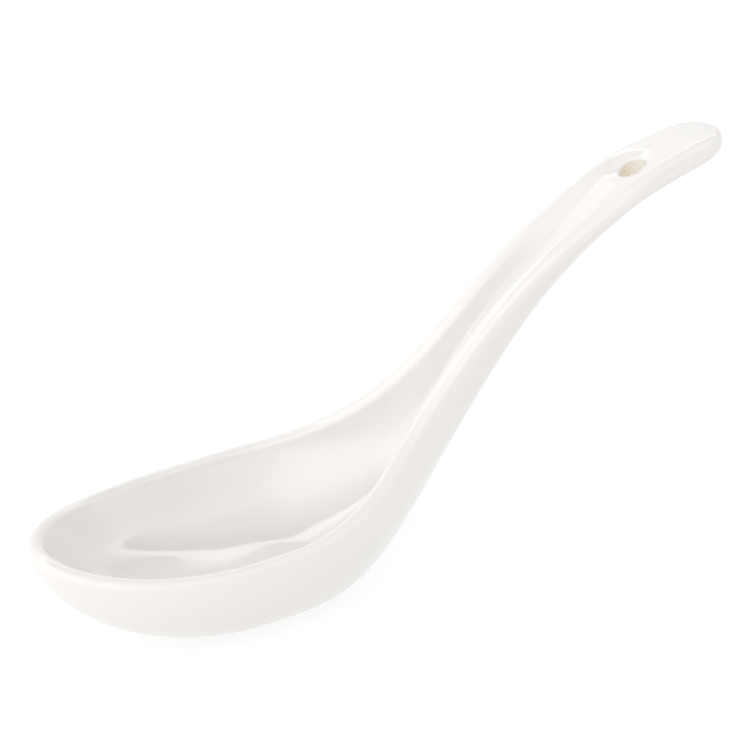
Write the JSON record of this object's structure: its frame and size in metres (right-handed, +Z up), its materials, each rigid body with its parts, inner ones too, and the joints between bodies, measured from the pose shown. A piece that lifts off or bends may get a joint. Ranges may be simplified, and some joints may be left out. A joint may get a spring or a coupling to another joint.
{
  "type": "chinese soup spoon",
  "caption": "Glazed porcelain soup spoon with a deep egg-shaped bowl, a flat ground foot, an upswept channelled handle and a hanging hole in its end tab.",
  "frame": {"origin": "middle of the ground foot under the bowl, on the surface that the spoon stands on", "axes": "+Z up out of the bowl, +X from the bowl's tip towards the end of the handle, the spoon symmetric across the XZ plane"},
  "size_m": [0.1346, 0.0456, 0.0654],
  "materials": {
    "porcelain": "unglazed, fine matt",
    "glaze": "clear gloss over warm white"
  },
  "bodies": {
    "root": {"porcelain_body": "porcelain", "glaze_coat": "glaze"}
  },
  "joints": []
}
